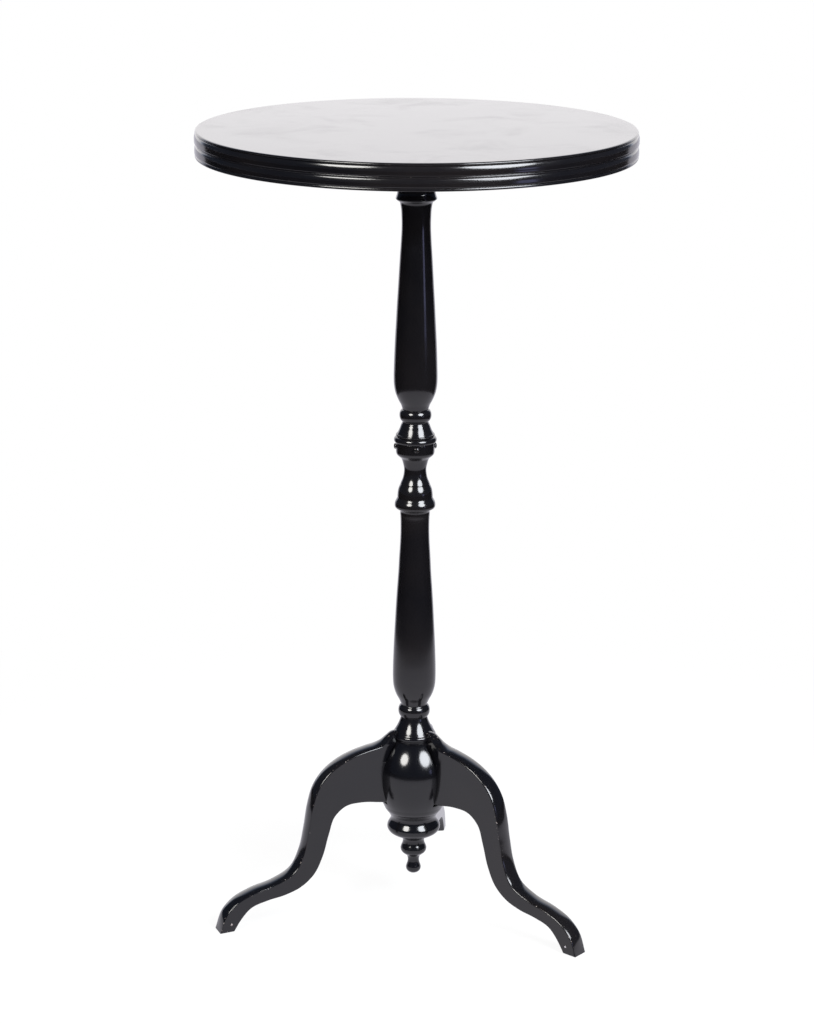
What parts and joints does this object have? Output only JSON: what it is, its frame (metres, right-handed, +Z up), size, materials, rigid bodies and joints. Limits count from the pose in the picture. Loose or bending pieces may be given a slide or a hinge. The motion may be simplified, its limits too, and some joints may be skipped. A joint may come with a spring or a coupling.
{
  "type": "tilt top table",
  "caption": "Small round tilt top table with a moulded edge, turned jointed column, cabriole tripod legs, drop finial and a hinged top held level by a spring catch.",
  "frame": {"origin": "on the floor at the column's axis", "axes": "+Z up along the column; the back leg points to +Y; the hinge axis is parallel to +X and the top tips over towards -Y"},
  "size_m": [0.4, 0.4, 0.749],
  "materials": {
    "black_lacquer": "gloss black lacquer over wood",
    "brass": "aged brass",
    "dark_steel": "dark steel",
    "bare_wood": "unfinished hardwood"
  },
  "bodies": {
    "base": {"lower_column": "black_lacquer", "upper_column": "black_lacquer", "drop_finial": "black_lacquer", "leg_back": "black_lacquer", "leg_left": "black_lacquer", "leg_right": "black_lacquer", "foot_pin_back": "dark_steel", "foot_pin_left": "dark_steel", "foot_pin_right": "dark_steel", "collar_screw_front": "dark_steel", "collar_screw_right": "dark_steel", "collar_screw_back": "dark_steel", "collar_screw_left": "dark_steel", "pivot_block": "black_lacquer", "block_wedge": "bare_wood", "strike_plate": "brass", "strike_screw_left": "brass", "strike_screw_right": "brass"},
    "tilting_top": {"top_board": "black_lacquer", "bearer_left": "black_lacquer", "bearer_right": "black_lacquer", "bearer_screw_left_front": "dark_steel", "bearer_screw_left_middle": "dark_steel", "bearer_screw_left_rear": "dark_steel", "bearer_screw_right_front": "dark_steel", "bearer_screw_right_middle": "dark_steel", "bearer_screw_right_rear": "dark_steel", "catch_plate": "brass", "catch_screw_front_left": "brass", "catch_screw_front_right": "brass", "catch_screw_rear_left": "brass", "catch_screw_rear_right": "brass"},
    "catch": {"catch_bolt": "brass", "catch_knob": "brass"}
  },
  "joints": [
    {"name": "top_tilt", "type": "hinge", "parent": "base", "child": "tilting_top", "pos_m": [0, -0.055, 0.7166], "axis": [1, 0, 0], "range_deg": [0, 90]},
    {"name": "catch_slide", "type": "slide", "parent": "tilting_top", "child": "catch", "axis": [0, 1, 0], "range_m": [0, 0.007], "stiffness_N_per_m": 300, "springref_m": -0.01}
  ]
}
